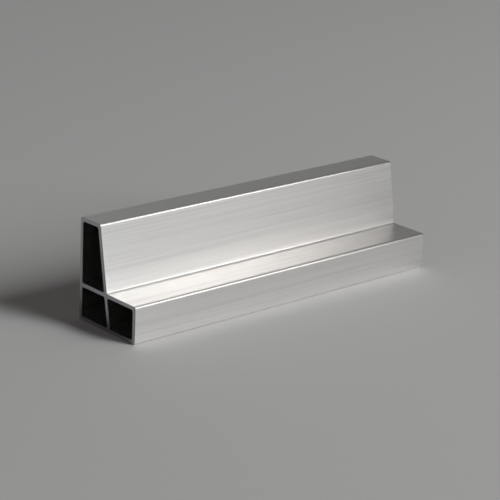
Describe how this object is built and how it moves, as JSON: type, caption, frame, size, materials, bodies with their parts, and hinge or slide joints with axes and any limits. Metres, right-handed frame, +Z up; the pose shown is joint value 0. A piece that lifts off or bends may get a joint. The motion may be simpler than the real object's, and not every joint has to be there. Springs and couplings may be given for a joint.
{
  "type": "aluminium extrusion profile",
  "caption": "Hollow stepped aluminium extrusion: a tall chamber with a leaning front stands behind a low flat shelf. A sawn length of stock for framing, trim and ledges.",
  "frame": {"origin": "centre of the bounding box on the surface that the foot lies on", "axes": "+X along the bar, +Y towards the upright back wall, +Z up from the foot"},
  "size_m": [0.15, 0.033, 0.04],
  "materials": {
    "mill_aluminium": "mill finish with fine die lines along the length, saw marks on the cut ends"
  },
  "bodies": {
    "root": {"stepped_profile": "mill_aluminium"}
  },
  "joints": []
}
